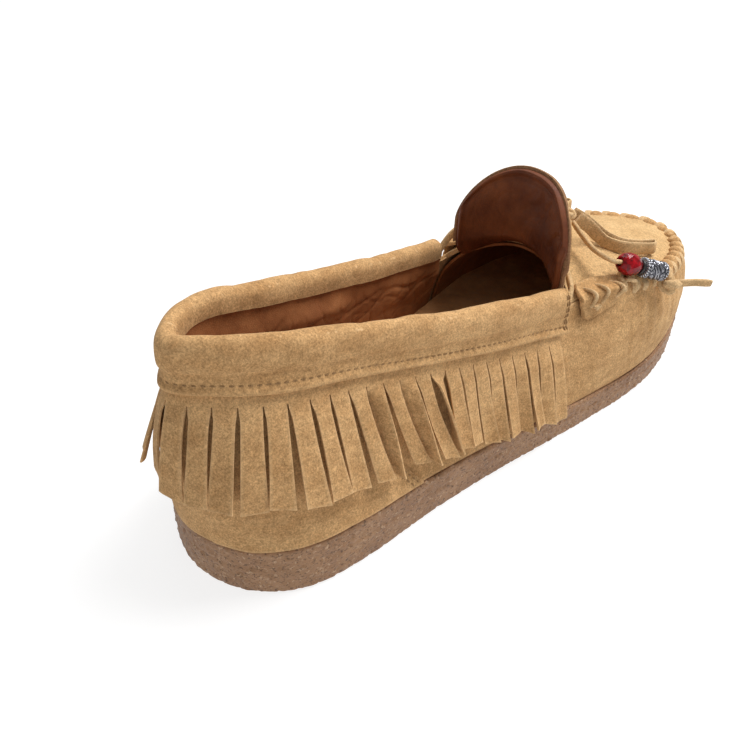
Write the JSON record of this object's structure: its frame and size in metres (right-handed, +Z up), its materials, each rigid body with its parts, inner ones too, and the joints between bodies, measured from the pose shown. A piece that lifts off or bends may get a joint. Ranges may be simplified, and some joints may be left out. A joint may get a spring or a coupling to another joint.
{
  "type": "moccasin",
  "caption": "Slip-on suede moccasin with a padded fringed collar, puckered toe seam, standing tongue, beaded lace bow and a crepe rubber sole.",
  "frame": {"origin": "centre of the heel on the ground face of the sole", "axes": "+Y towards the toe, +X towards the inner (medial) side of the foot, +Z up"},
  "size_m": [0.0964, 0.2556, 0.0873],
  "materials": {
    "tan_suede": "napped suede",
    "suede_lace": "cut suede lace",
    "lining_leather": "smooth, soft sheen",
    "crepe_rubber": "speckled crepe",
    "insole_board": "pressed fibre board",
    "soft_foam": "soft foam",
    "red_glass": "faceted, clear",
    "black_spacer": "gloss",
    "oxidised_silver": "cast relief, darkened in its hollows"
  },
  "bodies": {
    "shoe": {"outsole": "crepe_rubber", "insole_board": "insole_board", "footbed_foam": "soft_foam", "sock_liner": "lining_leather", "upper_wrap": "tan_suede", "heel_patch": "tan_suede", "heel_counter": "insole_board", "quarter_lining": "lining_leather", "vamp_lining": "lining_leather", "plug": "tan_suede", "medial_ear": "tan_suede", "lateral_ear": "tan_suede", "collar_band": "tan_suede", "collar_padding": "soft_foam", "fringe": "tan_suede", "seam_lace": "suede_lace", "collar_lace": "suede_lace", "bow_knot": "suede_lace", "medial_bow_loop": "suede_lace", "lateral_bow_loop": "suede_lace", "medial_lace_tail": "suede_lace", "medial_stopper_knot": "suede_lace", "medial_tail_end": "suede_lace", "lateral_lace_tail": "suede_lace", "lateral_stopper_knot": "suede_lace", "lateral_tail_end": "suede_lace"},
    "tongue_flap": {"tongue": "tan_suede", "tongue_lining": "lining_leather"},
    "medial_bead_stack": {"medial_spacer_ring": "black_spacer"},
    "medial_glass": {"medial_glass_bead": "red_glass"},
    "medial_silver": {"medial_silver_bead": "oxidised_silver"},
    "lateral_bead_stack": {"lateral_spacer_ring": "black_spacer"},
    "lateral_glass": {"lateral_glass_bead": "red_glass"},
    "lateral_silver": {"lateral_silver_bead": "oxidised_silver"}
  },
  "joints": [
    {"name": "tongue_fold", "type": "hinge", "parent": "shoe", "child": "tongue_flap", "pos_m": [0, 0.115, 0.0625], "axis": [-1, 0, 0], "range_deg": [-8, 28], "stiffness_Nm_per_rad": 0.02},
    {"name": "medial_bead_slide", "type": "slide", "parent": "shoe", "child": "medial_bead_stack", "axis": [0.3764, 0.8589, -0.3474], "range_m": [-0.003, 0]},
    {"name": "medial_glass_bead_spin", "type": "hinge", "parent": "medial_bead_stack", "child": "medial_glass", "pos_m": [0.03, 0.126, 0.0602], "axis": [0.3764, 0.8589, -0.3474], "continuous": true},
    {"name": "medial_silver_bead_spin", "type": "hinge", "parent": "medial_bead_stack", "child": "medial_silver", "pos_m": [0.03, 0.126, 0.0602], "axis": [0.3764, 0.8589, -0.3474], "continuous": true},
    {"name": "lateral_bead_slide", "type": "slide", "parent": "shoe", "child": "lateral_bead_stack", "axis": [-0.3, 0.8901, -0.343], "range_m": [-0.003, 0]},
    {"name": "lateral_glass_bead_spin", "type": "hinge", "parent": "lateral_bead_stack", "child": "lateral_glass", "pos_m": [-0.018, 0.1286, 0.0608], "axis": [-0.3, 0.8901, -0.343], "continuous": true},
    {"name": "lateral_silver_bead_spin", "type": "hinge", "parent": "lateral_bead_stack", "child": "lateral_silver", "pos_m": [-0.018, 0.1286, 0.0608], "axis": [-0.3, 0.8901, -0.343], "continuous": true}
  ]
}
